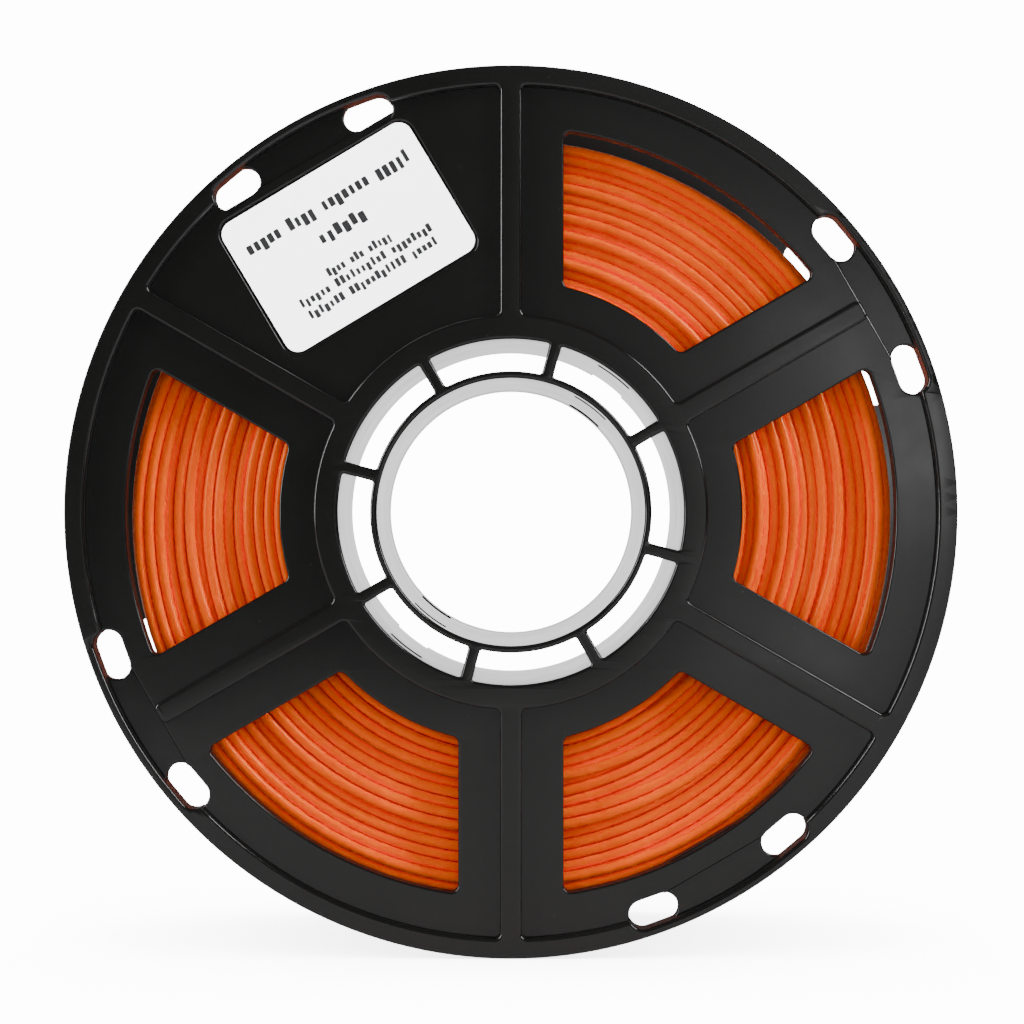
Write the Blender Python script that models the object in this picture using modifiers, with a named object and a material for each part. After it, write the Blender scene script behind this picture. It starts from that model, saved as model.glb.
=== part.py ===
"""Filament spool: two moulded halves, the wound filament and a label.

Every sub-part is modelled in the spool's own coordinates, lying on its back: local z runs
along the spindle and points out of the front face, and angles run anticlockwise from local
+x as the front face is looked at. One empty then stands the whole spool upright, so that
the front faces world -Y and the spindle lies along world Y. Sizes are in metres.
"""

import math

import bmesh
import bpy

# Overall size
OUTER_RADIUS = 0.0790
WIDTH = 0.0550
FACE = WIDTH / 2
GAP = 0.0003

# Flanges: a panel with a raised rim, ribs and hub ring on its outer side
FLANGE_DEPTH = 0.0050
PANEL_RECESS = 0.0018
RIM_INNER_RADIUS = 0.0755
HUB_RING_RADIUS = 0.0349
RIB_WIDTH = 0.0038
RIB_COUNT = 6
PANEL_CORNER = 0.0010
INNER_FACE = FACE - FLANGE_DEPTH
PANEL_FACE = FACE - PANEL_RECESS

# Windows: one in each sector between ribs, apart from the one that carries the label
WINDOW_INNER_RADIUS = 0.0411
WINDOW_OUTER_RADIUS = 0.0683
WINDOW_SIDE_OFFSET = 0.00935
WINDOW_CORNER = 0.0013
LABEL_SECTOR_ANGLE = 120

# Strand slots in the rim: four pairs, with a channel from one slot of a pair to the other
SLOT_PAIR_ANGLES = (30, 120, 210, 300)
SLOT_HALF_SPREAD = 10.3
SLOT_CENTRE_RADIUS = 0.0751
SLOT_LENGTH = 0.0090
SLOT_WIDTH = 0.0050
SLOT_CORNER = 0.0024
LIP_INNER_RADIUS = 0.0775
RIB_END_RADIUS = 0.0720
CHANNEL_CHORD = 0.0722
CHANNEL_DEPTH = 0.0006

# Drum that the strand is wound on, open at the back
DRUM_OUTER_RADIUS = 0.0334
DRUM_FRONT_RADIUS = 0.0306
DRUM_BACK_RADIUS = 0.0310
DRUM_END = -0.0220
LAP_RADIUS = 0.0322
LAP_LENGTH = 0.0030

# Bore tube, its spokes and the small windows where a strand's first end is hooked in
BORE_RADIUS = 0.0237
BORE_TUBE_RADIUS = 0.0249
BORE_SEAM = -0.0213
SPOKE_WIDTH = 0.0021
SPOKE_DEPTH = FLANGE_DEPTH
SPOKE_COUNT = 8
SPOKE_BITE = 0.0004
FIRST_SPOKE_ANGLE = 30
HOOK_ANGLES = (52.75, 232.0)
HOOK_WIDTH = 0.0070
FRONT_HOOK_SPAN = (0.0177, 0.0222)
REAR_HOOK_SPAN = (-0.0240, -0.0145)

# Rear flange's own hub
REAR_HUB_RADIUS = 0.0316
COLLAR_INNER_RADIUS = 0.0325
COLLAR_END = -0.0193

# Winding and label
WINDING_OUTER_RADIUS = 0.0680
WINDING_SHOULDER = 0.0010
LABEL_CENTRE_RADIUS = 0.0566
LABEL_LENGTH = 0.0387
LABEL_WIDTH = 0.0264
LABEL_CORNER = 0.0025
LABEL_ANGLE = 120.6
LABEL_TILT = 0.4
LABEL_THICKNESS = 0.00015
LABEL_BED_DEPTH = 0.00045
LABEL_BED_MARGIN = 0.0004
LABEL_SUNK = 0.00005

ROUND_STEPS = 96
OVERCUT = 0.002


# ---------------------------------------------------------------- scene and materials

def clear_scene():
    for obj in list(bpy.data.objects):
        bpy.data.objects.remove(obj, do_unlink=True)


def make_collection(name):
    collection = bpy.data.collections.new(name)
    bpy.context.scene.collection.children.link(collection)
    return collection


def make_material(name, colour, roughness):
    material = bpy.data.materials.new(name)
    material.use_nodes = True
    shader = material.node_tree.nodes["Principled BSDF"]
    shader.inputs["Base Color"].default_value = (*colour, 1.0)
    shader.inputs["Roughness"].default_value = roughness
    shader.inputs["Metallic"].default_value = 0.0
    material.diffuse_color = (*colour, 1.0)
    return material


# ---------------------------------------------------------------- outlines in the plane

def arc(centre, radius, start, end, steps):
    """Points on an arc from start to end, in radians, both ends included."""
    return [
        (centre[0] + radius * math.cos(start + (end - start) * i / steps),
         centre[1] + radius * math.sin(start + (end - start) * i / steps))
        for i in range(steps + 1)
    ]


def turned(points, degrees):
    """The same outline, turned about the spindle."""
    c, s = math.cos(math.radians(degrees)), math.sin(math.radians(degrees))
    return [(x * c - y * s, x * s + y * c) for x, y in points]


def shifted(points, dx):
    return [(x + dx, y) for x, y in points]


def sector_outline(inner, outer, side_offset, corner, half_angle, arc_steps, corner_steps=3):
    """A rounded opening between two spokes or ribs at plus and minus half_angle.

    The sides run parallel to those ribs, side_offset away from their centre lines.
    """
    along = (math.cos(-half_angle), math.sin(-half_angle))
    inward = (-along[1], along[0])

    def corner_centre(reach):
        t = math.sqrt(reach ** 2 - (side_offset + corner) ** 2)
        return tuple(t * a + (side_offset + corner) * n for a, n in zip(along, inward))

    side = math.atan2(-inward[1], -inward[0])
    near = corner_centre(inner + corner)
    far = corner_centre(outer - corner)
    near_angle = math.atan2(near[1], near[0])
    far_angle = math.atan2(far[1], far[0])
    lower = arc(near, corner, near_angle - math.pi, side, corner_steps)
    lower += arc(far, corner, side, far_angle, corner_steps)
    upper = [(x, -y) for x, y in reversed(lower)]
    rim = arc((0, 0), outer, far_angle, -far_angle, arc_steps)[1:-1]
    hub = arc((0, 0), inner, -near_angle, near_angle, arc_steps)[1:-1]
    return lower + rim + upper + hub


def rounded_rectangle(length, width, corner, steps=4):
    """A rectangle centred on the origin, length along y and width along x."""
    x, y = width / 2 - corner, length / 2 - corner
    quarter = math.pi / 2
    points = []
    for turn, (cx, cy) in enumerate([(x, y), (-x, y), (-x, -y), (x, -y)]):
        points += arc((cx, cy), corner, turn * quarter, (turn + 1) * quarter, steps)
    return points


def slot_outline():
    return rounded_rectangle(SLOT_LENGTH, SLOT_WIDTH, SLOT_CORNER, 5)


# ---------------------------------------------------------------- solids

def link(obj, collection, material=None):
    collection.objects.link(obj)
    if material:
        obj.data.materials.append(material)
    return obj


def plate(name, outlines, low, high, collection, material=None):
    """Closed flat plates from outlines, between two heights, as one mesh."""
    curve = bpy.data.curves.new(name + "_outline", "CURVE")
    curve.dimensions = "2D"
    curve.fill_mode = "BOTH"
    curve.extrude = (high - low) / 2
    for outline in outlines:
        spline = curve.splines.new("POLY")
        spline.points.add(len(outline) - 1)
        for point, (x, y) in zip(spline.points, outline):
            point.co = (x, y, 0, 1)
        spline.use_cyclic_u = True
    guide = bpy.data.objects.new(name + "_outline", curve)
    guide.location.z = (high + low) / 2
    bpy.context.scene.collection.objects.link(guide)
    bpy.context.view_layer.update()
    evaluated = guide.evaluated_get(bpy.context.evaluated_depsgraph_get())
    mesh = bpy.data.meshes.new_from_object(evaluated)
    mesh.materials.clear()
    work = bmesh.new()
    work.from_mesh(mesh)
    bmesh.ops.remove_doubles(work, verts=work.verts, dist=1e-6)
    bmesh.ops.recalc_face_normals(work, faces=work.faces)
    work.to_mesh(mesh)
    work.free()
    obj = bpy.data.objects.new(name, mesh)
    obj.matrix_world = guide.matrix_world
    bpy.data.objects.remove(guide, do_unlink=True)
    return link(obj, collection, material)


def ring(name, profile, collection, material=None):
    """A solid of revolution; the profile runs down its outer side, then up its inner."""
    mesh = bpy.data.meshes.new(name)
    count = len(profile)
    edges = [(i, (i + 1) % count) for i in range(count)]
    mesh.from_pydata([(r, 0, z) for r, z in profile], edges, [])
    obj = bpy.data.objects.new(name, mesh)
    screw = obj.modifiers.new("turn", "SCREW")
    screw.axis = "Z"
    screw.steps = ROUND_STEPS
    screw.render_steps = ROUND_STEPS
    screw.use_merge_vertices = True
    screw.merge_threshold = 0.000001
    screw.use_smooth_shade = False
    return link(obj, collection, material)


def box(name, size, centre, degrees, collection):
    """A box whose centre is given before it is turned about the spindle."""
    mesh = bpy.data.meshes.new(name)
    work = bmesh.new()
    bmesh.ops.create_cube(work, size=1)
    bmesh.ops.scale(work, vec=size, verts=work.verts)
    bmesh.ops.translate(work, vec=centre, verts=work.verts)
    work.to_mesh(mesh)
    work.free()
    obj = bpy.data.objects.new(name, mesh)
    obj.rotation_euler.z = math.radians(degrees)
    return link(obj, collection)


def combine(obj, other, operation):
    boolean = obj.modifiers.new(other.name, "BOOLEAN")
    boolean.operation = operation
    boolean.object = other
    boolean.solver = "EXACT"


def shade(obj):
    """Flat faces stay crisp and round ones smooth, by the angle between them."""
    bpy.context.view_layer.update()
    evaluated = obj.evaluated_get(bpy.context.evaluated_depsgraph_get())
    mesh = bpy.data.meshes.new_from_object(evaluated)
    obj.modifiers.clear()
    obj.data = mesh
    mesh.shade_smooth()
    mesh.set_sharp_from_angle(angle=math.radians(30))


# ---------------------------------------------------------------- features of a flange

def span(side, low, high):
    """A height range, mirrored to the rear flange when side is -1."""
    return (low, high) if side > 0 else (-high, -low)


def cut_flange(body, side, cutters, prefix):
    """Cut the panels, windows, slots and channels that both flanges share."""
    half = math.radians(180 / RIB_COUNT)
    sectors = [60 * i for i in range(RIB_COUNT)]

    panel = sector_outline(HUB_RING_RADIUS, RIM_INNER_RADIUS, RIB_WIDTH / 2, PANEL_CORNER,
                           half, 16)
    low, high = span(side, PANEL_FACE, FACE + OVERCUT)
    outlines = [turned(panel, a) for a in sectors]
    combine(body, plate(prefix + "_panel_cut", outlines, low, high, cutters), "DIFFERENCE")

    window = sector_outline(WINDOW_INNER_RADIUS, WINDOW_OUTER_RADIUS, WINDOW_SIDE_OFFSET,
                            WINDOW_CORNER, half, 12)
    low, high = span(side, INNER_FACE - OVERCUT, FACE + OVERCUT)
    outlines = [turned(window, a) for a in sectors if a != LABEL_SECTOR_ANGLE]
    combine(body, plate(prefix + "_window_cut", outlines, low, high, cutters), "DIFFERENCE")

    slot = shifted(slot_outline(), SLOT_CENTRE_RADIUS)
    outlines = [turned(slot, a + s * SLOT_HALF_SPREAD) for a in SLOT_PAIR_ANGLES for s in (-1, 1)]
    slots = plate(prefix + "_slot_cut", outlines, low, high, cutters)

    spread = math.radians(SLOT_HALF_SPREAD)
    lip = arc((0, 0), LIP_INNER_RADIUS, -spread, spread, 12)
    chord_rise = math.sqrt(LIP_INNER_RADIUS ** 2 - CHANNEL_CHORD ** 2)
    chord_rise = min(chord_rise, LIP_INNER_RADIUS * math.sin(spread))
    rib_end = [(RIB_END_RADIUS, chord_rise), (RIB_END_RADIUS, -chord_rise)]
    low, high = span(side, PANEL_FACE, FACE + OVERCUT)
    outlines = [turned(lip + rib_end, a) for a in SLOT_PAIR_ANGLES]
    combine(body, plate(prefix + "_lip_cut", outlines, low, high, cutters), "DIFFERENCE")

    chord = [(CHANNEL_CHORD, chord_rise), (CHANNEL_CHORD, -chord_rise)]
    low, high = span(side, PANEL_FACE - CHANNEL_DEPTH, FACE + OVERCUT)
    outlines = [turned(lip + chord, a) for a in SLOT_PAIR_ANGLES]
    combine(body, plate(prefix + "_channel_cut", outlines, low, high, cutters), "DIFFERENCE")
    combine(body, slots, "DIFFERENCE")


def add_spokes(body, side, reach, cutters, prefix):
    """Join the bore tube to the hub with spokes, flush with the outer face."""
    inner = BORE_TUBE_RADIUS - SPOKE_BITE
    length = reach - inner
    height = side * (FACE - SPOKE_DEPTH / 2)
    for i in range(SPOKE_COUNT):
        angle = FIRST_SPOKE_ANGLE + i * 360 / SPOKE_COUNT
        spoke = box("%s_spoke_%d" % (prefix, i + 1), (length, SPOKE_WIDTH, SPOKE_DEPTH),
                    (inner + length / 2, 0, height), angle, cutters)
        combine(body, spoke, "UNION")


def cut_hook_windows(body, cutters):
    """Openings right through drum and bore tube, beside each flange."""
    inner = BORE_RADIUS - OVERCUT
    outer = DRUM_OUTER_RADIUS + GAP
    length = outer - inner
    for name, (low, high) in (("front", FRONT_HOOK_SPAN), ("rear", REAR_HOOK_SPAN)):
        for i, angle in enumerate(HOOK_ANGLES):
            cutter = box("%s_hook_cut_%d" % (name, i + 1), (length, HOOK_WIDTH, high - low),
                         (inner + length / 2, 0, (low + high) / 2), angle, cutters)
            combine(body, cutter, "DIFFERENCE")


# ---------------------------------------------------------------- the sub-parts

def make_spool_body(parts, cutters, material):
    """Front flange, drum, bore tube and front spokes, moulded in one piece."""
    profile = [
        (OUTER_RADIUS, FACE),
        (OUTER_RADIUS, INNER_FACE),
        (DRUM_OUTER_RADIUS, INNER_FACE),
        (DRUM_OUTER_RADIUS, DRUM_END + LAP_LENGTH),
        (LAP_RADIUS, DRUM_END + LAP_LENGTH),
        (LAP_RADIUS, DRUM_END),
        (DRUM_BACK_RADIUS, DRUM_END),
        (DRUM_FRONT_RADIUS, FACE),
    ]
    body = ring("spool_body", profile, parts, material)
    tube = ring("bore_tube", [(BORE_TUBE_RADIUS, FACE), (BORE_TUBE_RADIUS, BORE_SEAM),
                              (BORE_RADIUS, BORE_SEAM), (BORE_RADIUS, FACE)], cutters)
    combine(body, tube, "UNION")
    add_spokes(body, 1, DRUM_FRONT_RADIUS + SPOKE_BITE, cutters, "front")
    cut_flange(body, 1, cutters, "front")
    bed = rounded_rectangle(LABEL_LENGTH + 2 * LABEL_BED_MARGIN,
                            LABEL_WIDTH + 2 * LABEL_BED_MARGIN,
                            LABEL_CORNER + LABEL_BED_MARGIN)
    bed = turned(shifted(bed, LABEL_CENTRE_RADIUS), LABEL_ANGLE)
    bed_cut = plate("label_bed_cut", [bed], PANEL_FACE - LABEL_BED_DEPTH, FACE, cutters)
    combine(body, bed_cut, "DIFFERENCE")
    cut_hook_windows(body, cutters)
    return body


def make_rear_flange(parts, cutters, material):
    """Second moulding, whose collar laps over the open end of the drum."""
    profile = [
        (COLLAR_INNER_RADIUS, COLLAR_END),
        (DRUM_OUTER_RADIUS, COLLAR_END),
        (DRUM_OUTER_RADIUS, -INNER_FACE),
        (OUTER_RADIUS, -INNER_FACE),
        (OUTER_RADIUS, -FACE),
        (REAR_HUB_RADIUS, -FACE),
        (REAR_HUB_RADIUS, DRUM_END - GAP),
        (COLLAR_INNER_RADIUS, DRUM_END - GAP),
    ]
    body = ring("rear_flange", profile, parts, material)
    seam = BORE_SEAM - GAP
    tube = ring("rear_bore_ring", [(BORE_TUBE_RADIUS, seam), (BORE_TUBE_RADIUS, -FACE),
                                   (BORE_RADIUS, -FACE), (BORE_RADIUS, seam)], cutters)
    combine(body, tube, "UNION")
    add_spokes(body, -1, REAR_HUB_RADIUS + SPOKE_BITE, cutters, "rear")
    cut_flange(body, -1, cutters, "rear")
    return body


def make_winding(parts, material):
    """The wound strand as one plain ring that fills the drum between the flanges."""
    inner = DRUM_OUTER_RADIUS + GAP
    half = INNER_FACE - GAP
    profile = [
        (WINDING_OUTER_RADIUS - WINDING_SHOULDER, half),
        (WINDING_OUTER_RADIUS, half - WINDING_SHOULDER),
        (WINDING_OUTER_RADIUS, WINDING_SHOULDER - half),
        (WINDING_OUTER_RADIUS - WINDING_SHOULDER, -half),
        (inner, -half),
        (inner, half),
    ]
    return ring("filament_winding", profile, parts, material)


def make_label(parts, material):
    """The label, stuck a touch askew in its shallow bed."""
    outline = turned(rounded_rectangle(LABEL_LENGTH, LABEL_WIDTH, LABEL_CORNER), LABEL_TILT)
    outline = turned(shifted(outline, LABEL_CENTRE_RADIUS), LABEL_ANGLE)
    high = PANEL_FACE - LABEL_SUNK
    return plate("label", [outline], high - LABEL_THICKNESS, high, parts, material)


def main():
    clear_scene()
    parts = make_collection("filament_spool")
    cutters = make_collection("cutters")
    black = make_material("black_plastic", (0.012, 0.012, 0.011), 0.28)
    orange = make_material("orange_filament", (0.87, 0.13, 0.012), 0.35)
    paper = make_material("label_paper", (0.90, 0.90, 0.91), 0.60)

    solids = [
        make_spool_body(parts, cutters, black),
        make_rear_flange(parts, cutters, black),
        make_winding(parts, orange),
        make_label(parts, paper),
    ]
    for solid in solids:
        shade(solid)
    for cutter in cutters.objects:
        cutter.hide_render = True
        cutter.display_type = "WIRE"

    stand = bpy.data.objects.new("spindle_axis", None)
    stand.rotation_euler.x = math.radians(90)
    parts.objects.link(stand)
    for solid in solids:
        solid.parent = stand


main()
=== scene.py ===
import math
import random

import bmesh
import bpy
import numpy as np
from mathutils import Matrix, Vector


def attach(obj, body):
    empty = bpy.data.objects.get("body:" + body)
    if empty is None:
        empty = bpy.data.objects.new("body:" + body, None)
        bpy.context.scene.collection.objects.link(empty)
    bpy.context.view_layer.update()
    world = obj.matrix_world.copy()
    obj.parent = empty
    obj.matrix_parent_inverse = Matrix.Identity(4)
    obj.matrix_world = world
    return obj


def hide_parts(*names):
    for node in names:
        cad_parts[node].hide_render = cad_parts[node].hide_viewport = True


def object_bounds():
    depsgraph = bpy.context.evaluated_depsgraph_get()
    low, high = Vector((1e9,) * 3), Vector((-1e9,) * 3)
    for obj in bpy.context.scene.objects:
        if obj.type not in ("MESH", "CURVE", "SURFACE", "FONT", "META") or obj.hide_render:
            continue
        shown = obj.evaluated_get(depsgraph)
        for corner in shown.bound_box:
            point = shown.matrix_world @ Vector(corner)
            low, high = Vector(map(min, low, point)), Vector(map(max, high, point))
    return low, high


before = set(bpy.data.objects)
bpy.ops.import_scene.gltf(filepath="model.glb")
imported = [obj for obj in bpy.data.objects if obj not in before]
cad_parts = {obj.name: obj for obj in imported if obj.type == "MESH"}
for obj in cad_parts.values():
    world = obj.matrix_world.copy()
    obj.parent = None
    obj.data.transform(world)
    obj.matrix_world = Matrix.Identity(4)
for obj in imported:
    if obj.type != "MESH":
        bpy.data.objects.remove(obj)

# Everything is modelled in the spool's own coordinates, lying on its back: local z runs
# along the spindle and points out of the front face, and angles run anticlockwise from
# local +x. UPRIGHT then turns local z to world -Y and local y to world +Z. Metres.
UPRIGHT = Matrix.Rotation(math.radians(90), 4, "X")

CAD_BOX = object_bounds()
OUTER_RADIUS = CAD_BOX[1][0]
FACE = CAD_BOX[1][1]

# Flanges
FLANGE_DEPTH = 0.0050
PANEL_RECESS = 0.0018
INNER_FACE = FACE - FLANGE_DEPTH
PANEL_FACE = FACE - PANEL_RECESS
RIM_INNER_RADIUS = 0.0755
HUB_RING_RADIUS = 0.0349
RIB_WIDTH = 0.0038
PANEL_CORNER = 0.0010
RIM_ROUND = 0.0008
EDGE_ROUND = 0.00055
PANEL_ROUND = 0.0004
ROUND_STEPS = 4
HUB_GAP_CORNER = 0.0005
HUB_OVERLAP = 0.0015
PANEL_INSET = 0.0002
# Plates start behind the flange, each at its own depth, and are trimmed to it at the end
TRIM_DEPTH = 0.0020
PANEL_TRIM, CHANNEL_TRIM, LABEL_BED_TRIM = 0.0005, 0.0008, 0.0011
TRIM_MARGIN = 0.0015
# The envelope that trims a flange stands clear of its front face and its bore
ENVELOPE_SHOULDER = 0.0002
ENVELOPE_MARGIN = 0.001
ENVELOPE_BORE_MARGIN = 0.003
# Hairline by which joined solids overlap, and how deep tubes run into a flange
TOUCH = 0.00001
JOIN_DEPTH = 0.001

# Windows and label panel
WINDOW_ANGLES = (0, 60, 180, 240, 300)
WINDOW_INNER_RADIUS = 0.0411
WINDOW_OUTER_RADIUS = 0.0683
WINDOW_SIDE_OFFSET = 0.00935
WINDOW_CORNER = 0.0013
LABEL_ANGLE = 120.6
LABEL_TILT = 0.4
LABEL_CENTRE_RADIUS = 0.0566
LABEL_LENGTH = 0.0387
LABEL_WIDTH = 0.0264
LABEL_CORNER = 0.0025
LABEL_BED_MARGIN = 0.0004
LABEL_BED_DEPTH = 0.00045
LABEL_THICKNESS = 0.00015
LABEL_SUNK = 0.00005
LABEL_BED_OVERLAP = 0.002
LABEL_BED_CORNER = 0.003
PAPER_ROUND = 0.00003
INK_DEPTH = 0.00001
# Stand-in print: height of a line's middle, its length, letter height and word lengths
PRINT_LINES = (
    (0.0073, 0.0335, 0.0024, (5, 4, 7, 5)),
    (0.0024, 0.0097, 0.0022, (6,)),
    (-0.0035, 0.0132, 0.0016, (4, 3, 5)),
    (-0.00585, 0.0272, 0.0016, (6, 10, 8)),
    (-0.00835, 0.0265, 0.0016, (7, 11, 5)),
)

# Strand slots, in pairs, and the channel between the slots of a pair
SLOT_HALF_SPREAD = 10.3
SLOT_CENTRE_RADIUS = 0.0751
SLOT_LENGTH = 0.0090
SLOT_WIDTH = 0.0050
SLOT_GROWTH = 0.00003
SLOT_END_FLAT = 0.00005
LIP_INNER_RADIUS = 0.0775
RIB_END_RADIUS = 0.0720
RIB_END_ROUND = 0.0011
CHANNEL_CHORD = 0.0722
CHANNEL_DEPTH = 0.0006
CHANNEL_ROUND = 0.0003
CHANNEL_RIM_GAP = 0.0006
# Outline of the floor under a channel: radius and angle from the middle of the pair
CHANNEL_FLOOR = ((0.0705, -16), (0.0784, -16), (0.0787, -8), (0.0788, 0), (0.0787, 8),
                 (0.0784, 16), (0.0705, 16))

# Hub
DRUM_OUTER_RADIUS = 0.0334
DRUM_FRONT_RADIUS = 0.0306
DRUM_BACK_RADIUS = 0.0310
DRUM_END = -0.0220
LAP_RADIUS = 0.0322
LAP_LENGTH = 0.0030
REAR_HUB_RADIUS = 0.0316
COLLAR_INNER_RADIUS = 0.0325
COLLAR_END = -0.0193
BORE_RADIUS = 0.0237
BORE_TUBE_RADIUS = 0.0249
BORE_SEAM = -0.0213
SEAM_GAP = 0.0003
TUBE_EDGE = 0.0002
SPOKE_WIDTH = 0.0021
SPOKE_ANGLES = tuple(30 + 45 * i for i in range(8))
HOOK_ANGLES = (52.75, 232.0)
HOOK_WIDTH = 0.0070
FRONT_HOOK_SPAN = (0.0177, 0.0222)
REAR_HOOK_SPAN = (-0.0240, -0.0145)
HOOK_CUT_START = BORE_RADIUS - 0.002
HOOK_CUT_END = DRUM_OUTER_RADIUS + 0.0003

# Strand; it is drawn a little thicker than it lies, so that neighbours meet
STRAND = 0.00175
STRAND_DRAWN = 0.00186
STRAND_SIDES = 10
TURN_STEPS = 96
LAY_PITCH = 0.00180
LAYERS = 19
FLANGE_CLEARANCE = 0.00025
DRUM_CLEARANCE = 0.0001
# Layers turn back short of the flange or dwell beside it, by these lengths of lay
TURN_BACK = (-0.0004, 0.0011)
WANDER = 0.00006
WANDERS_PER_TURN = 4
# Strands closer along the spindle than this share of a diameter lift one another
BESIDE = 0.86
# A strand under two others this close, and at least half a diameter higher, is hidden
COVERED_WITHIN = 0.9
COVERED_BELOW = 0.5
SIDE_BAND = 0.0050
CORE_RADIUS = 0.0625
CORE_HALF_LENGTH = 0.0195
CORE_BORE = DRUM_OUTER_RADIUS + 0.0004
# Slack left in each layer, in micrometres, by angle: the strand lies tightest near 60
LAYER_SLACK = ((0, 80), (20, 100), (40, 88), (60, -10), (80, 20), (120, 75), (155, 105),
               (180, 127), (205, 200), (240, 205), (270, 205), (300, 180), (330, 105),
               (360, 80))

# Camera
CAMERA_DISTANCE = 0.455
CAMERA_LENS = 90.6
CAMERA_RIGHT = 0.0002

# Studio
ROOM_LIGHT = 0.05
ROOM_TOP = 0.15
FRONT_GLOW = 0.12
FRONT_GLOW_RIGHT = 0.45
FRONT_GLOW_LOW = 0.10
BACKDROP_LIGHT = 2.00
BACKDROP_WHITE = 14.0
FLOOR_RADIUS = 0.75
FLOOR_WHITE = 0.80
CONTACT_REACH = 0.05
CONTACT_SHADE = 0.25
# Lamps: place, width and height in metres, and power in watts
LEFT_BOX = ((-0.95, -0.40, 0.33), (0.24, 0.80), 11)
RIGHT_BOX = ((0.85, -0.40, 0.55), (0.24, 0.70), 11)
FRONT_FILL = ((0, -1.20, 0.35), (2.20, 2.20), 22)
BACK_FILL = ((0, 1.20, 0.50), (0.90, 0.90), 16)
LABEL_FILL = ((-0.30, -1.10, 0.60), (0.50, 0.50), 72)
# Sheens: where each shows on the front face, across and up, its size there and its level
SHEEN_DISTANCE = 1.5
SHEENS = {
    "sheen_right": (0.073, 0.010, (0.010, 0.024), 8.0),
    "sheen_rib": (0.058, 0.033, (0.016, 0.014), 3.5),
    "sheen_low": (0.050, -0.029, (0.020, 0.014), 3.0),
}

# Colours, linear; a pair is mixed in soft patches
BLACKS = (0.0055, 0.0055, 0.0050), (0.0080, 0.0080, 0.0075)
DUST = (0.06, 0.06, 0.055)
# Painted light on the strand: the crests take these oranges, and the grooves between strands
# are painted a paler, redder orange, found by ambient occlusion within this reach
CREST_ORANGES = (0.60, 0.076, 0.0), (0.66, 0.092, 0.0)
GROOVE_PAINTED_LIGHT_ORANGE = (1.0, 0.064, 0.0)
GROOVE_REACH = 0.0016
HIGHLIGHT_TINT = (1.0, 0.55, 0.3, 1.0)
PAPERS = (0.92, 0.92, 0.925), (0.96, 0.96, 0.965)
INKS = (0.003, 0.003, 0.0035), (0.010, 0.010, 0.011)

# Walls inside windows and slots are rougher than the faces by this much
WALL_DULLNESS = 0.35


# ------------------------------------------------------------------ outlines in the plane

def polar(radius, degrees):
    angle = math.radians(degrees)
    return radius * math.cos(angle), radius * math.sin(angle)


def sweep(centre, radius, start, end, turn=1, step=6.0):
    """Points on an arc, in degrees, anticlockwise for turn 1 and clockwise for -1."""
    extent = (turn * (end - start)) % 360
    count = max(2, math.ceil(extent / step))
    points = []
    for i in range(count + 1):
        dx, dy = polar(radius, start + turn * extent * i / count)
        points.append((centre[0] + dx, centre[1] + dy))
    return points


def circle(radius, count=192):
    return [polar(radius, 360 * i / count) for i in range(count)]


def turned(points, degrees):
    c, s = math.cos(math.radians(degrees)), math.sin(math.radians(degrees))
    return [(x * c - y * s, x * s + y * c) for x, y in points]


def shifted(points, dx):
    return [(x + dx, y) for x, y in points]


def heading(point):
    return math.degrees(math.atan2(point[1], point[0]))


def side_corner(rib, side, reach, offset):
    """Centre of a rounded corner beside a rib, at that distance from the spindle."""
    along = math.sqrt(reach ** 2 - offset ** 2)
    return turned([(along, side * offset)], rib)[0]


def inner_corner(rib, side, radius, offset, corner):
    """Corner between the inner circle and a rib's side, in anticlockwise order."""
    centre = side_corner(rib, side, radius + corner, offset + corner)
    back = heading(centre) + 180
    flank = rib - 90 * side
    return sweep(centre, corner, *((back, flank) if side > 0 else (flank, back)), step=15)


def outer_corner(rib, side, radius, offset, corner):
    centre = side_corner(rib, side, radius - corner, offset + corner)
    out = heading(centre)
    flank = rib - 90 * side
    return sweep(centre, corner, *((flank, out) if side > 0 else (out, flank)), step=15)


def sector(first, last, inner, outer, offset, corner):
    """Rounded opening between two spokes or ribs, its sides parallel to them."""
    start = outer_corner(first, 1, outer, offset, corner)
    end = outer_corner(last, -1, outer, offset, corner)
    low = inner_corner(first, 1, inner, offset, corner)
    high = inner_corner(last, -1, inner, offset, corner)
    rim = sweep((0, 0), outer, heading(start[-1]), heading(end[0]), 1, 2)[1:-1]
    hub = sweep((0, 0), inner, heading(high[-1]), heading(low[0]), -1, 2)[1:-1]
    return low + start + rim + end + high + hub


def rounded_rectangle(length, width, corner, step=15):
    """Length along y and width along x, centred on the origin."""
    x, y = width / 2 - corner, length / 2 - corner
    corners = [((x, -y), -90), ((x, y), 0), ((-x, y), 90), ((-x, -y), 180)]
    return [p for centre, a in corners for p in sweep(centre, corner, a, a + 90, 1, step)]


def slot(angle, grow=0.0):
    """One strand slot, its long side square to the radius through its middle."""
    width = SLOT_WIDTH + 2 * grow
    outline = rounded_rectangle(SLOT_LENGTH + 2 * grow, width, width / 2 - SLOT_END_FLAT)
    return turned(shifted(outline, SLOT_CENTRE_RADIUS), angle)


def slot_end(pair, side):
    """Middle of the far end of a slot, and the polar angle of that point."""
    reach = SLOT_LENGTH / 2 - SLOT_WIDTH / 2
    centre = turned([(SLOT_CENTRE_RADIUS, side * reach)], pair + side * SLOT_HALF_SPREAD)[0]
    return centre, heading(centre)


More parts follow.
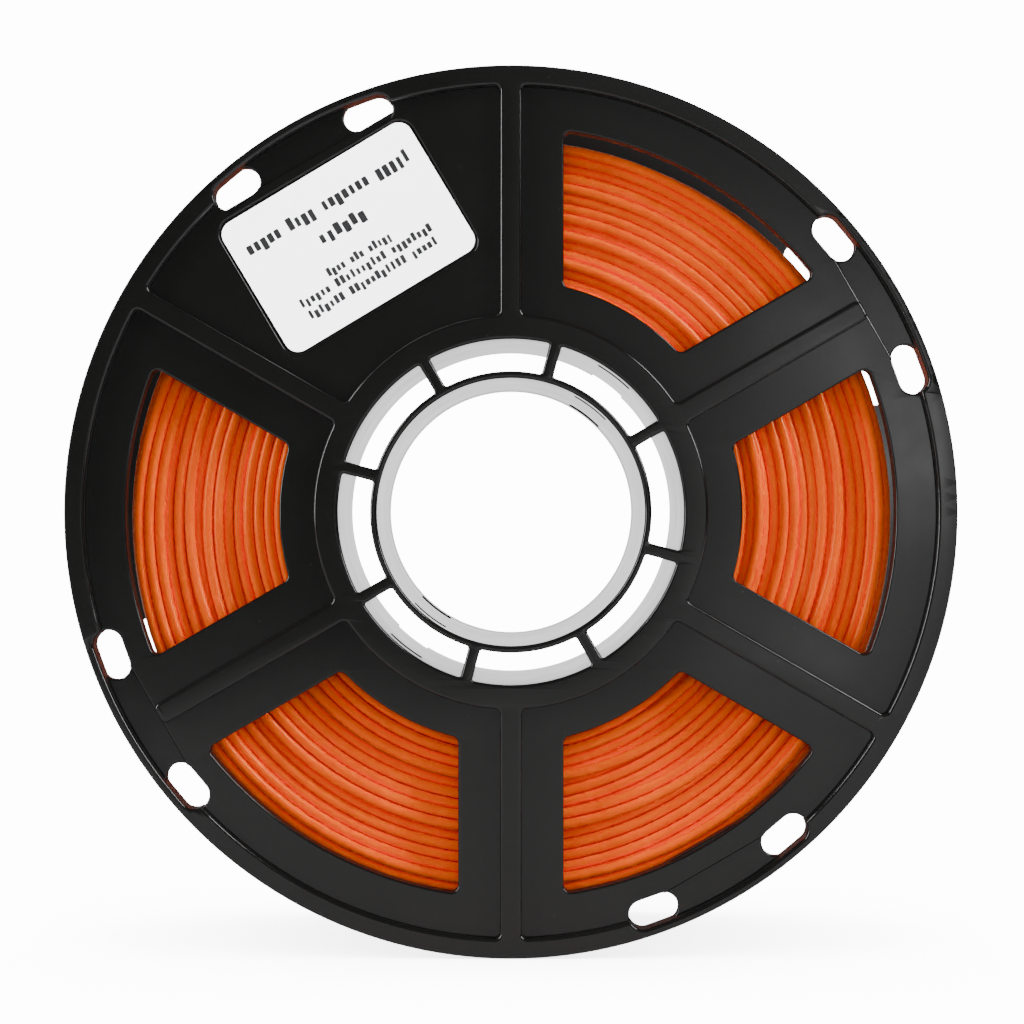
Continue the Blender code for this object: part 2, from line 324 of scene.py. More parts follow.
def lip_bump(pair):
    """Where the recess runs out past the rim's inner edge, round a pair of slots."""
    radius = LIP_INNER_RADIUS - SLOT_CENTRE_RADIUS
    first, first_angle = slot_end(pair, -1)
    last, last_angle = slot_end(pair, 1)
    rise = math.degrees(math.asin((RIM_INNER_RADIUS - SLOT_CENTRE_RADIUS) / radius))
    points = sweep(first, radius, first_angle - 90 + rise, first_angle, 1, 10)
    points += sweep((0, 0), LIP_INNER_RADIUS, first_angle, last_angle, 1, 1.5)[1:-1]
    return points + sweep(last, radius, last_angle, last_angle + 90 - rise, 1, 10)


def recess(first, last, pair=None, free_rib=None):
    """Outline of one recessed panel between two full ribs.

    A free rib inside it ends short of the rim, between the slots of a pair.
    """
    half, corner = RIB_WIDTH / 2, PANEL_CORNER
    low = inner_corner(first, 1, HUB_RING_RADIUS, half, corner)
    start = outer_corner(first, 1, RIM_INNER_RADIUS, half, corner)
    end = outer_corner(last, -1, RIM_INNER_RADIUS, half, corner)
    high = inner_corner(last, -1, HUB_RING_RADIUS, half, corner)
    points = low + start
    here = heading(start[-1])
    if pair is not None:
        bump = lip_bump(pair)
        points += sweep((0, 0), RIM_INNER_RADIUS, here, heading(bump[0]), 1, 2)[1:-1] + bump
        here = heading(bump[-1])
    points += sweep((0, 0), RIM_INNER_RADIUS, here, heading(end[0]), 1, 2)[1:-1]
    points += end + high
    here = heading(high[-1])
    if free_rib is not None:
        left = inner_corner(free_rib, 1, HUB_RING_RADIUS, half, corner)
        right = inner_corner(free_rib, -1, HUB_RING_RADIUS, half, corner)
        x, y = RIB_END_RADIUS - RIB_END_ROUND, half - RIB_END_ROUND
        tip = sweep((x, y), RIB_END_ROUND, 90, 0, -1, 15)
        tip += sweep((x, -y), RIB_END_ROUND, 0, -90, -1, 15)
        points += sweep((0, 0), HUB_RING_RADIUS, here, heading(left[0]), -1, 2)[1:-1]
        points += left + turned(tip, free_rib) + right
        here = heading(right[-1])
    return points + sweep((0, 0), HUB_RING_RADIUS, here, heading(low[0]), -1, 2)[1:-1]


RECESSES = (
    dict(first=-30, last=90, pair=30, free_rib=30),
    dict(first=90, last=150, pair=120),
    dict(first=150, last=270, pair=210, free_rib=210),
    dict(first=270, last=330, pair=300),
)


def channel_hole(pair):
    """Hole in the panel that takes in a pair of slots and the channel between them."""
    points = []
    for side in (1, -1):
        centre = polar(SLOT_CENTRE_RADIUS, side * SLOT_HALF_SPREAD)
        reach = SLOT_LENGTH / 2 - SLOT_WIDTH / 2
        radial = side * SLOT_HALF_SPREAD
        far = turned([(SLOT_CENTRE_RADIUS, side * reach)], radial)[0]
        near = turned([(SLOT_CENTRE_RADIUS, -side * reach)], radial)[0]
        half = SLOT_WIDTH / 2
        outer = sweep(far, half, radial, radial + side * 180, side, 12)
        inner = sweep(near, half, radial + 180, radial + 180 + side * 20, side, 10)
        run = outer + inner
        points += run if side > 0 else run[::-1]
        if side > 0:
            points += [(CHANNEL_CHORD, inner[-1][1]), (CHANNEL_CHORD, -inner[-1][1])]
    reach = OUTER_RADIUS - CHANNEL_RIM_GAP
    first, last = heading(points[-1]), heading(points[0])
    points += sweep((0, 0), reach, first, last, 1, 2)
    return turned(points, pair)


# ------------------------------------------------------------------ mesh helpers

def to_mesh(obj, name):
    """The evaluated object as a plain mesh, its loose caps welded."""
    bpy.context.view_layer.update()
    evaluated = obj.evaluated_get(bpy.context.evaluated_depsgraph_get())
    mesh = bpy.data.meshes.new_from_object(evaluated)
    mesh.name = name
    mesh.transform(obj.matrix_world)
    work = bmesh.new()
    work.from_mesh(mesh)
    bmesh.ops.remove_doubles(work, verts=work.verts, dist=2e-7)
    bmesh.ops.recalc_face_normals(work, faces=work.faces)
    work.to_mesh(mesh)
    work.free()
    mesh.materials.clear()
    return mesh


def as_object(name, mesh):
    obj = bpy.data.objects.new(name, mesh)
    bpy.context.scene.collection.objects.link(obj)
    return obj


def plate(name, outlines, low, high, fillet=0.0, steps=ROUND_STEPS):
    """Flat plates with rounded edges; outlines inside others are holes."""
    curve = bpy.data.curves.new(name, "CURVE")
    curve.dimensions = "2D"
    curve.fill_mode = "BOTH"
    curve.extrude = (high - low) / 2 - fillet
    curve.bevel_depth = fillet
    curve.bevel_resolution = steps
    curve.offset = -fillet
    for outline in outlines:
        spline = curve.splines.new("POLY")
        spline.points.add(len(outline) - 1)
        for point, (x, y) in zip(spline.points, outline):
            point.co = (x, y, 0, 1)
        spline.use_cyclic_u = True
    guide = as_object(name + "_guide", curve)
    guide.location.z = (high + low) / 2
    obj = as_object(name, to_mesh(guide, name))
    bpy.data.objects.remove(guide, do_unlink=True)
    return obj


def ring(name, profile, steps=192):
    """Solid of revolution; the profile runs down its outer side, then up its inner."""
    mesh = bpy.data.meshes.new(name)
    count = len(profile)
    edges = [(i, (i + 1) % count) for i in range(count)]
    mesh.from_pydata([(r, 0, z) for r, z in profile], edges, [])
    guide = as_object(name + "_guide", mesh)
    screw = guide.modifiers.new("turn", "SCREW")
    screw.axis = "Z"
    screw.steps = steps
    screw.render_steps = steps
    screw.use_merge_vertices = True
    screw.merge_threshold = 0.000001
    obj = as_object(name, to_mesh(guide, name))
    bpy.data.objects.remove(guide, do_unlink=True)
    return obj


def block(name, size, centre, degrees):
    """A box whose centre is given before it is turned about the spindle."""
    mesh = bpy.data.meshes.new(name)
    work = bmesh.new()
    bmesh.ops.create_cube(work, size=1)
    bmesh.ops.scale(work, vec=size, verts=work.verts)
    bmesh.ops.translate(work, vec=centre, verts=work.verts)
    work.to_mesh(mesh)
    work.free()
    mesh.transform(Matrix.Rotation(math.radians(degrees), 4, "Z"))
    return as_object(name, mesh)


def combine(obj, other, operation):
    """Boolean with another object, which is used up."""
    boolean = obj.modifiers.new("boolean", "BOOLEAN")
    boolean.operation = operation
    boolean.object = other
    boolean.solver = "EXACT"
    mesh = to_mesh(obj, obj.name)
    obj.modifiers.clear()
    obj.data = mesh
    bpy.data.objects.remove(other, do_unlink=True)


def smooth_by_angle(obj, degrees=38):
    obj.data.shade_smooth()
    obj.data.set_sharp_from_angle(angle=math.radians(degrees))


def weigh_normals(obj):
    """Keep broad flat faces flat where they meet small rounded edges."""
    weighted = obj.modifiers.new("flat_faces", "WEIGHTED_NORMAL")
    weighted.mode = "FACE_AREA"
    weighted.weight = 50
    weighted.keep_sharp = True


# ------------------------------------------------------------------ the two mouldings

def rounded_corner(centre, radius, start, end, steps=4):
    return [(centre[0] + radius * math.cos(math.radians(start + (end - start) * i / steps)),
             centre[1] + radius * math.sin(math.radians(start + (end - start) * i / steps)))
            for i in range(steps + 1)]


def flange(name, hub_radius, labelled):
    """One flange facing +z, with its rim, ribs, panels, windows, slots and spokes."""
    deep = INNER_FACE - TRIM_DEPTH
    beyond = OUTER_RADIUS + TRIM_MARGIN

    hub_gaps = [sector(a, a + 45, BORE_TUBE_RADIUS, hub_radius, SPOKE_WIDTH / 2,
                       HUB_GAP_CORNER) for a in SPOKE_ANGLES]
    outlines = [circle(beyond)] + [recess(**r) for r in RECESSES] + hub_gaps
    outlines.append(circle(BORE_RADIUS, 144))
    body = plate(name, outlines, deep, FACE, EDGE_ROUND)

    windows = [sector(a - 30, a + 30, WINDOW_INNER_RADIUS, WINDOW_OUTER_RADIUS,
                      WINDOW_SIDE_OFFSET, WINDOW_CORNER) for a in WINDOW_ANGLES]
    pairs = [r["pair"] for r in RECESSES]
    outlines = [circle(beyond - PANEL_INSET), circle(HUB_RING_RADIUS - HUB_OVERLAP, 96)]
    outlines += windows
    outlines += [channel_hole(p) for p in pairs]
    if labelled:
        bed = rounded_rectangle(LABEL_LENGTH + 2 * LABEL_BED_MARGIN,
                                LABEL_WIDTH + 2 * LABEL_BED_MARGIN,
                                LABEL_CORNER + LABEL_BED_MARGIN)
        outlines.append(turned(shifted(bed, LABEL_CENTRE_RADIUS), LABEL_ANGLE))
    panel = plate("panel", outlines, deep - PANEL_TRIM, PANEL_FACE, PANEL_ROUND)
    combine(body, panel, "UNION")

    outlines = []
    for pair in pairs:
        outlines.append(turned([polar(*point) for point in CHANNEL_FLOOR], pair))
        outlines += [slot(pair + s * SLOT_HALF_SPREAD, SLOT_GROWTH) for s in (-1, 1)]
    floor = plate("channel_floor", outlines, deep - CHANNEL_TRIM,
                  PANEL_FACE - CHANNEL_DEPTH, CHANNEL_ROUND)
    combine(body, floor, "UNION")
    if labelled:
        bed = rounded_rectangle(LABEL_LENGTH + 2 * LABEL_BED_OVERLAP,
                                LABEL_WIDTH + 2 * LABEL_BED_OVERLAP, LABEL_BED_CORNER)
        bed = turned(shifted(bed, LABEL_CENTRE_RADIUS), LABEL_ANGLE)
        under = plate("label_bed", [bed], deep - LABEL_BED_TRIM,
                      PANEL_FACE - LABEL_BED_DEPTH)
        combine(body, under, "UNION")

    r, above = RIM_ROUND, FACE + ENVELOPE_MARGIN
    bore = BORE_RADIUS - ENVELOPE_BORE_MARGIN
    profile = rounded_corner((OUTER_RADIUS - r, FACE + ENVELOPE_SHOULDER - r), r, 60, 0)
    profile += rounded_corner((OUTER_RADIUS - r, INNER_FACE + r), r, 0, -90)
    profile += [(bore, INNER_FACE), (bore, above), (OUTER_RADIUS - 2 * r, above)]
    combine(body, ring("envelope", profile), "INTERSECT")
    return body


def add_bore_tube(body, end):
    """Tube round the spindle, from the flange to its chamfered end."""
    outer, inner, top = BORE_TUBE_RADIUS - TOUCH, BORE_RADIUS + TOUCH, INNER_FACE + JOIN_DEPTH
    tube = ring("bore_tube", [
        (outer, top), (outer, end + TUBE_EDGE), (outer - TUBE_EDGE, end),
        (inner + TUBE_EDGE, end), (inner, end + TUBE_EDGE), (inner, top)])
    combine(body, tube, "UNION")


def cut_hook_windows(body):
    length = HOOK_CUT_END - HOOK_CUT_START
    for low, high in (FRONT_HOOK_SPAN, REAR_HOOK_SPAN):
        for angle in HOOK_ANGLES:
            cutter = block("hook_cut", (length, HOOK_WIDTH, high - low),
                           (HOOK_CUT_START + length / 2, 0, (low + high) / 2), angle)
            combine(body, cutter, "DIFFERENCE")


def make_spool_body(material):
    body = flange("spool_body_moulding", DRUM_FRONT_RADIUS, True)
    top = INNER_FACE + JOIN_DEPTH
    drum = ring("drum", [
        (DRUM_OUTER_RADIUS, top), (DRUM_OUTER_RADIUS, DRUM_END + LAP_LENGTH),
        (LAP_RADIUS, DRUM_END + LAP_LENGTH), (LAP_RADIUS, DRUM_END),
        (DRUM_BACK_RADIUS, DRUM_END), (DRUM_FRONT_RADIUS + TOUCH, top)])
    combine(body, drum, "UNION")
    add_bore_tube(body, BORE_SEAM)
    cut_hook_windows(body)
    return finish_piece(body, material, "spool", "black_plastic", "spool_body")


def make_rear_flange(material):
    """The rear moulding, made facing +z like the front one and then mirrored."""
    body = flange("rear_flange_moulding", REAR_HUB_RADIUS, False)
    top = INNER_FACE + JOIN_DEPTH
    collar = ring("collar", [
        (DRUM_OUTER_RADIUS, top), (DRUM_OUTER_RADIUS, -COLLAR_END),
        (COLLAR_INNER_RADIUS, -COLLAR_END), (COLLAR_INNER_RADIUS, top)])
    combine(body, collar, "UNION")
    add_bore_tube(body, SEAM_GAP - BORE_SEAM)
    body.data.transform(Matrix.Diagonal((1, 1, -1, 1)))
    body.data.flip_normals()
    return finish_piece(body, material, "rear_flange", "black_plastic", "rear_flange")


def finish_piece(obj, material, body, slot_name, *nodes):
    """Stand the piece upright, shade it, and say what it rides on and replaces."""
    obj.data.transform(UPRIGHT)
    obj.data.materials.clear()
    obj.data.materials.append(material)
    smooth_by_angle(obj)
    weigh_normals(obj)
    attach(obj, body)
    if nodes:
        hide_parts(*nodes)
    return obj


# ------------------------------------------------------------------ the wound strand

def softened(values, spread):
    """Values along the strand with their sharp changes eased over a few samples."""
    reach = 3 * spread
    kernel = np.exp(-0.5 * (np.arange(-reach, reach + 1) / spread) ** 2)
    padded = np.concatenate([np.full(reach, values[0]), values, np.full(reach, values[-1])])
    return np.convolve(padded, kernel / kernel.sum(), "valid")


def lay_strand():
    """Wind one strand on the drum, turn by turn, and return its radius and height.

    Each turn rests on whatever lies under it in its own half plane: a strand beside it
    within one diameter lifts it as one round bar lifts another.
    """
    rng = random.Random(7)
    limit = INNER_FACE - STRAND / 2 - FLANGE_CLEARANCE
    angles = np.arange(TURN_STEPS) * 2 * math.pi / TURN_STEPS
    slack = np.interp(np.degrees(angles), *zip(*LAYER_SLACK)) * 1e-6
    slack = np.convolve(np.concatenate([slack[-4:], slack, slack[:4]]), np.ones(9) / 9, "valid")
    step = LAY_PITCH / TURN_STEPS
    heights, direction, height, stop = [], -1, limit, limit
    passes = 0
    while passes < LAYERS:
        height += direction * step
        if direction * height > stop:
            passes += 1
            direction = -direction
            stop = limit + rng.uniform(*TURN_BACK)
        heights.append(max(-limit, min(limit, height)))
    turns = len(heights) // TURN_STEPS
    z = np.array(heights[:turns * TURN_STEPS]).reshape(turns, TURN_STEPS)
    wander = np.array([rng.gauss(0, 1) for _ in range(turns * WANDERS_PER_TURN)])
    t = np.arange(turns * TURN_STEPS) * WANDERS_PER_TURN / TURN_STEPS
    drift = softened(np.interp(t, np.arange(len(wander)), wander), 5)
    z = np.clip(z + WANDER * drift.reshape(turns, TURN_STEPS), -limit, limit)
    r = np.empty_like(z)
    for k in range(turns):
        floor = np.full(TURN_STEPS, DRUM_OUTER_RADIUS + STRAND / 2 + DRUM_CLEARANCE)
        if k:
            dz = z[:k] - z[k]
            lift = np.sqrt(np.maximum(STRAND ** 2 - dz ** 2, 0))
            touch = np.where(np.abs(dz) < BESIDE * STRAND, r[:k] + lift, 0)
            floor = np.maximum(floor, touch.max(axis=0))
        r[k] = softened(floor, 2) + slack
    return softened(r.reshape(-1), 3), z.reshape(-1)


def visible_runs(seen):
    """Start and end of each run of visible samples, with one to spare; no short scraps."""
    runs, start = [], None
    for i, visible in enumerate(seen):
        if visible and start is None:
            start = max(i - 1, 0)
        if not visible and start is not None:
            runs.append((start, i + 1))
            start = None
    if start is not None:
        runs.append((start, len(seen)))
    return [run for run in runs if run[1] - run[0] > 4]


def strand_mesh(name, r, z, runs):
    """Round tubes along runs of the wound path, each closed at both ends."""
    verts, faces = [], []
    around = [2 * math.pi * s / STRAND_SIDES for s in range(STRAND_SIDES)]
    for start, end in runs:
        base = len(verts)
        for i in range(start, end):
            angle = 2 * math.pi * (i % TURN_STEPS) / TURN_STEPS
            c, s = math.cos(angle), math.sin(angle)
            for a in around:
                reach = r[i] + STRAND_DRAWN / 2 * math.cos(a)
                verts.append((reach * c, reach * s, z[i] + STRAND_DRAWN / 2 * math.sin(a)))
        count = end - start
        for i in range(count - 1):
            for k in range(STRAND_SIDES):
                here, across = base + i * STRAND_SIDES, base + (i + 1) * STRAND_SIDES
                nxt = (k + 1) % STRAND_SIDES
                faces.append((here + k, across + k, across + nxt, here + nxt))
        faces.append(tuple(base + k for k in range(STRAND_SIDES)))
        last = base + (count - 1) * STRAND_SIDES
        faces.append(tuple(last + k for k in reversed(range(STRAND_SIDES))))
    mesh = bpy.data.meshes.new(name)
    mesh.from_pydata(verts, [], faces)
    mesh.update()
    return as_object(name, mesh)


def turns_above(r, z):
    """How many higher turns lie over each sample of the strand, in its half plane."""
    cover = np.zeros(len(r))
    for step in range(TURN_STEPS):
        here = slice(step, None, TURN_STEPS)
        dz = np.abs(z[here][:, None] - z[here][None, :])
        higher = r[here][None, :] > r[here][:, None] + STRAND * COVERED_BELOW
        cover[here] = ((dz < STRAND * COVERED_WITHIN) & higher).sum(axis=1)
    return cover


def make_winding(material):
    """The strand where it can be seen, at both ends and outside, round a plain core."""
    r, z = lay_strand()
    front = z > INNER_FACE - SIDE_BAND
    rear = z < SIDE_BAND - INNER_FACE
    top = (turns_above(r, z) < 2) & ~front & ~rear
    bands = (("winding_front", front), ("winding_rear", rear), ("winding_top", top))
    pieces = [strand_mesh(name, r, z, visible_runs(seen)) for name, seen in bands]
    pieces.append(ring("winding_core", [
        (CORE_RADIUS, CORE_HALF_LENGTH), (CORE_RADIUS, -CORE_HALF_LENGTH),
        (CORE_BORE, -CORE_HALF_LENGTH), (CORE_BORE, CORE_HALF_LENGTH)], 96))
    for piece in pieces:
        piece.data.transform(UPRIGHT)
        piece.data.materials.append(material)
        piece.data.shade_smooth()
        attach(piece, "spool")
    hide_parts("filament_winding")
    return pieces


# ------------------------------------------------------------------ the label

def on_label(points):
    """From label coordinates, right and up as it is read, to the spool's."""
    askew = turned([(up, -right) for right, up in points], LABEL_TILT)
    return turned(shifted(askew, LABEL_CENTRE_RADIUS), LABEL_ANGLE)


def print_blocks():
    """Rows of small rounded blocks in place of lettering."""
    rng = random.Random(3)
    blocks = []
    for middle, length, height, words in PRINT_LINES:
        cell = length / (sum(words) + len(words) - 1)
        left = -length / 2
        for word in words:
            for _ in range(word):
                tall, low = rng.choice(((0.72, 0), (0.72, 0), (1.0, 0), (0.95, -0.25)))
                width = cell * rng.choice((0.55, 0.7, 0.78))
                block = rounded_rectangle(tall * height, width, 0.18 * width, 45)
                up = middle + (low + tall / 2 - 0.5) * height
                right = left + cell / 2
                blocks.append(on_label([(x + right, y + up) for x, y in block]))
                left += cell
            left += cell
    return blocks


def make_label(paper, ink):
    top = PANEL_FACE - LABEL_SUNK
    outline = rounded_rectangle(LABEL_WIDTH, LABEL_LENGTH, LABEL_CORNER)
    sheet = plate("label_sheet", [on_label(outline)], top - LABEL_THICKNESS, top,
                  PAPER_ROUND, 1)
    finish_piece(sheet, paper, "spool", "label_paper", "label")
    marks = plate("label_print", print_blocks(), top - INK_DEPTH / 2, top + INK_DEPTH)
    finish_piece(marks, ink, "spool", "label_paper")
    return [sheet, marks]


# ------------------------------------------------------------------ materials

def new_material(name):
    material = bpy.data.materials.new(name)
    material.use_nodes = True
    tree = material.node_tree
    return material, tree, tree.nodes["Principled BSDF"]


def noise(tree, scale, detail, roughness, coords):
    node = tree.nodes.new("ShaderNodeTexNoise")
    node.inputs["Scale"].default_value = scale
    node.inputs["Detail"].default_value = detail
    node.inputs["Roughness"].default_value = roughness
    tree.links.new(coords, node.inputs["Vector"])
    return node.outputs["Fac"]


def remap(tree, value, low, high, to_low, to_high):
    node = tree.nodes.new("ShaderNodeMapRange")
    node.inputs["From Min"].default_value = low
    node.inputs["From Max"].default_value = high
    node.inputs["To Min"].default_value = to_low
    node.inputs["To Max"].default_value = to_high
    tree.links.new(value, node.inputs["Value"])
    return node.outputs["Result"]


def blend_colours(tree, factor, first, second):
    """Mix two colours; the first may be another node's output."""
    node = tree.nodes.new("ShaderNodeMix")
    node.data_type = "RGBA"
    a, b = [socket for socket in node.inputs if socket.type == "RGBA"]
    if isinstance(first, tuple):
        a.default_value = (*first, 1)
    else:
        tree.links.new(first, a)
    b.default_value = (*second, 1)
    tree.links.new(factor, node.inputs["Factor"])
    return next(socket for socket in node.outputs if socket.type == "RGBA")


def math_node(tree, operation, first, second):
    node = tree.nodes.new("ShaderNodeMath")
    node.operation = operation
    tree.links.new(first, node.inputs[0])
    tree.links.new(second, node.inputs[1])
    return node.outputs[0]


def bump(tree, shader, height, strength, distance):
    node = tree.nodes.new("ShaderNodeBump")
    node.inputs["Strength"].default_value = strength
    node.inputs["Distance"].default_value = distance
    tree.links.new(height, node.inputs["Height"])
    tree.links.new(node.outputs["Normal"], shader.inputs["Normal"])


def black_plastic():
    """Polished faces with a faint waviness, and duller walls in windows and slots."""
    material, tree, shader = new_material("black_plastic")
    coords = tree.nodes.new("ShaderNodeTexCoord").outputs["Object"]
    cloud = remap(tree, noise(tree, 40, 3, 0.5, coords), 0.3, 0.7, 0.0, 1.0)
    colour = blend_colours(tree, cloud, *BLACKS)
    dust = remap(tree, noise(tree, 2300, 0, 0.5, coords), 0.87, 0.90, 0.0, 1.0)
    colour = blend_colours(tree, dust, colour, DUST)
    tree.links.new(colour, shader.inputs["Base Color"])
    rough = remap(tree, noise(tree, 55, 4, 0.6, coords), 0.3, 0.7, 0.13, 0.18)
    rough = math_node(tree, "ADD", rough, wall_dullness(tree, coords))
    tree.links.new(rough, shader.inputs["Roughness"])
    bump(tree, shader, noise(tree, 22, 1, 0.4, coords), 1.0, 0.0003)
    return material


def wall_dullness(tree, coords):
    """Extra roughness on the walls that stand square to the faces, from hub to rim."""
    axes = tree.nodes.new("ShaderNodeSeparateXYZ")
    tree.links.new(coords, axes.inputs[0])
    flat = tree.nodes.new("ShaderNodeCombineXYZ")
    tree.links.new(axes.outputs[0], flat.inputs[0])
    tree.links.new(axes.outputs[2], flat.inputs[2])
    length = tree.nodes.new("ShaderNodeVectorMath")
    length.operation = "LENGTH"
    tree.links.new(flat.outputs[0], length.inputs[0])
    outside_hub = remap(tree, length.outputs["Value"], 0.0400, 0.0405, 0.0, 1.0)
    inside_rim = remap(tree, length.outputs["Value"], 0.0782, 0.0778, 0.0, 1.0)
    facing = tree.nodes.new("ShaderNodeSeparateXYZ")
    tree.links.new(tree.nodes.new("ShaderNodeTexCoord").outputs["Normal"], facing.inputs[0])
    steep = tree.nodes.new("ShaderNodeMath")
    steep.operation = "ABSOLUTE"
    tree.links.new(facing.outputs[1], steep.inputs[0])
    wall = remap(tree, steep.outputs[0], 0.35, 0.10, 0.0, WALL_DULLNESS)
    between = math_node(tree, "MULTIPLY", outside_hub, inside_rim)
    return math_node(tree, "MULTIPLY", wall, between)


def orange_filament():
    """Glossy, slightly translucent plastic; painted light makes it redder and paler in the
    grooves, where light pools.
    """
    material, tree, shader = new_material("orange_filament")
    coords = tree.nodes.new("ShaderNodeTexCoord").outputs["Object"]
    patch = remap(tree, noise(tree, 120, 2, 0.5, coords), 0.3, 0.7, 0.0, 1.0)
    crest = blend_colours(tree, patch, *CREST_ORANGES)
    # Painted light: ambient occlusion picks out the grooves, which get the paler, redder orange
    hollow = tree.nodes.new("ShaderNodeAmbientOcclusion")
    hollow.samples = 8
    hollow.only_local = True
    hollow.inputs["Distance"].default_value = GROOVE_REACH
    depth = remap(tree, hollow.outputs["AO"], 0.95, 0.40, 0.0, 1.0)
    colour = blend_colours(tree, depth, crest, GROOVE_PAINTED_LIGHT_ORANGE)
    tree.links.new(colour, shader.inputs["Base Color"])
    rough = remap(tree, noise(tree, 400, 2, 0.5, coords), 0.3, 0.7, 0.22, 0.32)
    tree.links.new(rough, shader.inputs["Roughness"])
    shader.inputs["Specular IOR Level"].default_value = 0.3
    shader.inputs["Specular Tint"].default_value = HIGHLIGHT_TINT
    shader.inputs["Subsurface Weight"].default_value = 0.9
    shader.inputs["Subsurface Radius"].default_value = (1.0, 0.4, 0.1)
    shader.inputs["Subsurface Scale"].default_value = 0.0014
    bump(tree, shader, noise(tree, 60, 0, 0.5, coords), 0.4, 0.00004)
    return material


def label_paper():
    """Coated paper with a trace of fibre."""
    material, tree, shader = new_material("label_paper")
    coords = tree.nodes.new("ShaderNodeTexCoord").outputs["Object"]
    fibre = remap(tree, noise(tree, 1200, 3, 0.6, coords), 0.3, 0.7, 0.0, 1.0)
    colour = blend_colours(tree, fibre, *PAPERS)
    tree.links.new(colour, shader.inputs["Base Color"])
    shader.inputs["Roughness"].default_value = 0.55
    bump(tree, shader, noise(tree, 4000, 3, 0.6, coords), 0.1, 0.00002)
    return material


def label_ink():
    """Black print, a little thin in places."""
    material, tree, shader = new_material("label_ink")
    coords = tree.nodes.new("ShaderNodeTexCoord").outputs["Object"]
    cover = remap(tree, noise(tree, 2500, 2, 0.6, coords), 0.3, 0.8, 0.0, 1.0)
    colour = blend_colours(tree, cover, *INKS)
    tree.links.new(colour, shader.inputs["Base Color"])
    shader.inputs["Roughness"].default_value = 0.6
    return material


# ------------------------------------------------------------------ studio

def ramp_sum(tree, base, ramps):
    """A level made of a base and smooth ramps, each (value, from, to, amount)."""
    total = None
    for value, low, high, amount in ramps:
        node = tree.nodes.new("ShaderNodeMapRange")
        node.interpolation_type = "SMOOTHSTEP"
        node.inputs["From Min"].default_value = low
        node.inputs["From Max"].default_value = high
        node.inputs["To Min"].default_value = 0.0
        node.inputs["To Max"].default_value = amount
        tree.links.new(value, node.inputs["Value"])
        add = tree.nodes.new("ShaderNodeMath")
        add.operation = "ADD"
        tree.links.new(node.outputs["Result"], add.inputs[0])
        if total is None:
            add.inputs[1].default_value = base
        else:
            tree.links.new(total, add.inputs[1])
        total = add.outputs[0]
    return total


def make_world():
    """White backdrop, dark sides, and a soft glow in front that grows to the right."""
    world = bpy.data.worlds.new("studio")
    world.use_nodes = True
    bpy.context.scene.world = world
    tree = world.node_tree
    axes = tree.nodes.new("ShaderNodeSeparateXYZ")
    tree.links.new(tree.nodes.new("ShaderNodeTexCoord").outputs["Generated"], axes.inputs[0])
    x, y, z = axes.outputs
    front = ramp_sum(tree, 0.0, ((y, -0.93, -0.98, 1.0),))
    glow = ramp_sum(tree, FRONT_GLOW, ((x, -0.03, 0.13, FRONT_GLOW_RIGHT),
                                       (z, 0.02, -0.08, FRONT_GLOW_LOW)))
    around = ramp_sum(tree, ROOM_LIGHT, ((z, 0.3, 0.9, ROOM_TOP),
                                         (y, 0.92, 0.97, BACKDROP_LIGHT)))
    level = math_node(tree, "ADD", math_node(tree, "MULTIPLY", front, glow), around)
    lit, white = tree.nodes["Background"], tree.nodes.new("ShaderNodeBackground")
    tree.links.new(level, lit.inputs["Strength"])
    lit.inputs["Color"].default_value = (1, 1, 1, 1)
    white.inputs["Color"].default_value = (1, 1, 1, 1)
    white.inputs["Strength"].default_value = BACKDROP_WHITE
    mix = tree.nodes.new("ShaderNodeMixShader")
    ray = tree.nodes.new("ShaderNodeLightPath").outputs["Is Camera Ray"]
    tree.links.new(ray, mix.inputs["Fac"])
    tree.links.new(lit.outputs[0], mix.inputs[1])
    tree.links.new(white.outputs[0], mix.inputs[2])
    tree.links.new(mix.outputs[0], tree.nodes["World Output"].inputs["Surface"])


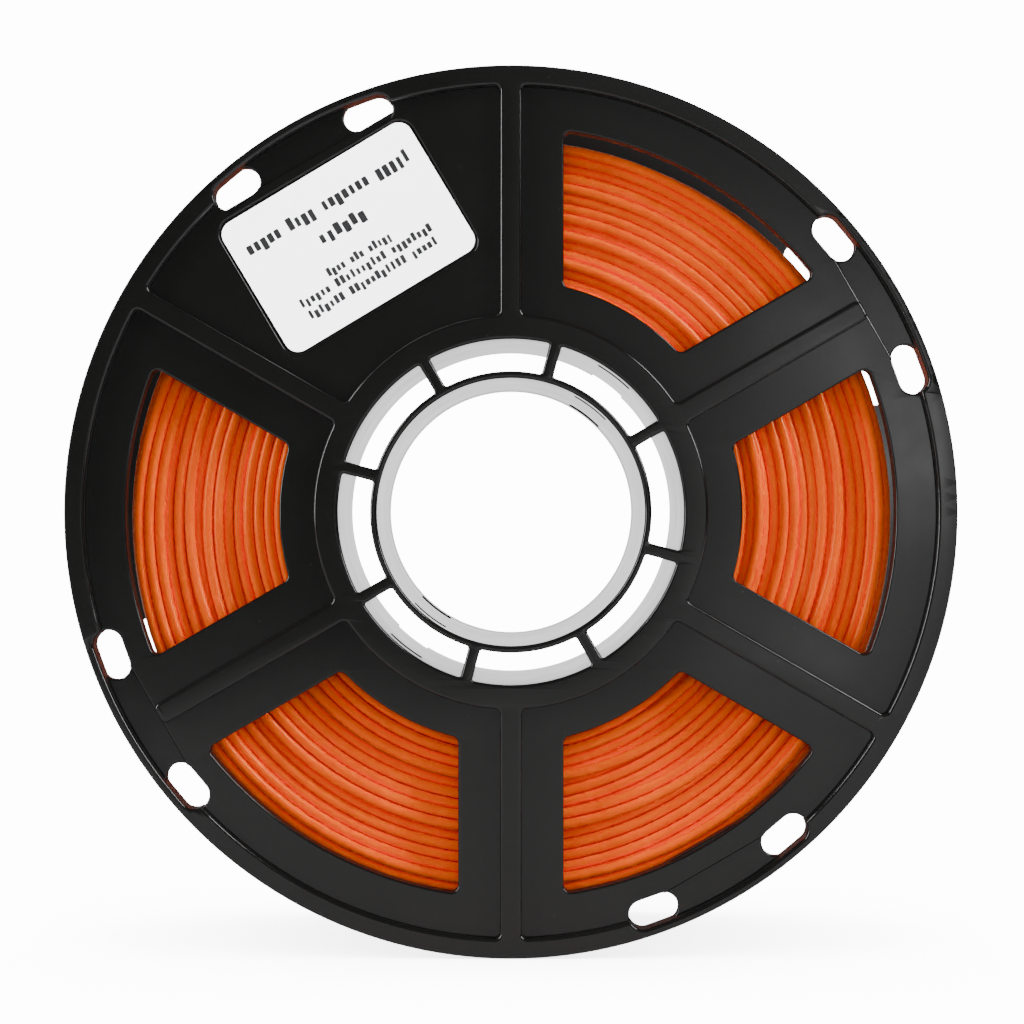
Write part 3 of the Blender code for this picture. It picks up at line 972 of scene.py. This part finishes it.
def make_floor():
    """A round pale floor, seen as white as the backdrop but for its contact shade."""
    mesh = bpy.data.meshes.new("floor")
    work = bmesh.new()
    bmesh.ops.create_circle(work, cap_ends=True, segments=96, radius=FLOOR_RADIUS)
    work.to_mesh(mesh)
    work.free()
    floor = as_object("floor", mesh)
    floor.location.z = -OUTER_RADIUS
    material, tree, shader = new_material("floor_white")
    shader.inputs["Base Color"].default_value = (FLOOR_WHITE, FLOOR_WHITE, FLOOR_WHITE, 1)
    shader.inputs["Roughness"].default_value = 0.9
    shade = tree.nodes.new("ShaderNodeAmbientOcclusion")
    shade.samples = 8
    shade.inputs["Distance"].default_value = CONTACT_REACH
    glow = tree.nodes.new("ShaderNodeEmission")
    strength = remap(tree, shade.outputs["AO"], 0.0, 1.0,
                     CONTACT_SHADE * BACKDROP_WHITE, BACKDROP_WHITE)
    tree.links.new(strength, glow.inputs["Strength"])
    mix = tree.nodes.new("ShaderNodeMixShader")
    ray = tree.nodes.new("ShaderNodeLightPath").outputs["Is Camera Ray"]
    tree.links.new(ray, mix.inputs["Fac"])
    tree.links.new(shader.outputs[0], mix.inputs[1])
    tree.links.new(glow.outputs[0], mix.inputs[2])
    tree.links.new(mix.outputs[0], tree.nodes["Material Output"].inputs["Surface"])
    mesh.materials.append(material)


def softbox(name, location, size, power, only=()):
    """A rectangular light aimed at the spool; only lists the pieces that it lights."""
    light = bpy.data.lights.new(name, "AREA")
    light.shape = "RECTANGLE"
    light.size, light.size_y = size
    light.energy = power
    obj = as_object(name, light)
    obj.location = location
    obj.rotation_euler = (-Vector(location)).to_track_quat("-Z", "Y").to_euler()
    if only:
        lit = bpy.data.collections.new(name + "_lit")
        for piece in only:
            lit.objects.link(piece)
        obj.light_linking.receiver_collection = lit
        obj.visible_glossy = False


def sheen(name, x, z, size, level):
    """A dim lamp whose mirror image lies at x, z on the front face."""
    away = 1 + (SHEEN_DISTANCE - FACE) / CAMERA_DISTANCE
    width, height = size[0] * away, size[1] * away
    softbox(name, (x * away, -SHEEN_DISTANCE, z * away), (width, height),
            math.pi * width * height * level)


def make_studio(winding, label):
    make_world()
    make_floor()
    softbox("left_box", *LEFT_BOX)
    softbox("right_box", *RIGHT_BOX)
    softbox("front_fill", *FRONT_FILL, winding + label)
    softbox("back_fill", *BACK_FILL, winding)
    softbox("label_fill", *LABEL_FILL, label)
    for name, placing in SHEENS.items():
        sheen(name, *placing)


def make_camera():
    camera = bpy.data.cameras.new("camera")
    camera.lens = CAMERA_LENS
    camera.sensor_width = 36
    camera.clip_start = 0.01
    obj = as_object("camera", camera)
    obj.location = (CAMERA_RIGHT, -(FACE + CAMERA_DISTANCE), 0)
    obj.rotation_euler = (math.radians(90), 0, 0)
    bpy.context.scene.camera = obj


make_camera()
black = black_plastic()
make_spool_body(black)
make_rear_flange(black)
winding = make_winding(orange_filament())
label = make_label(label_paper(), label_ink())
make_studio(winding, label)
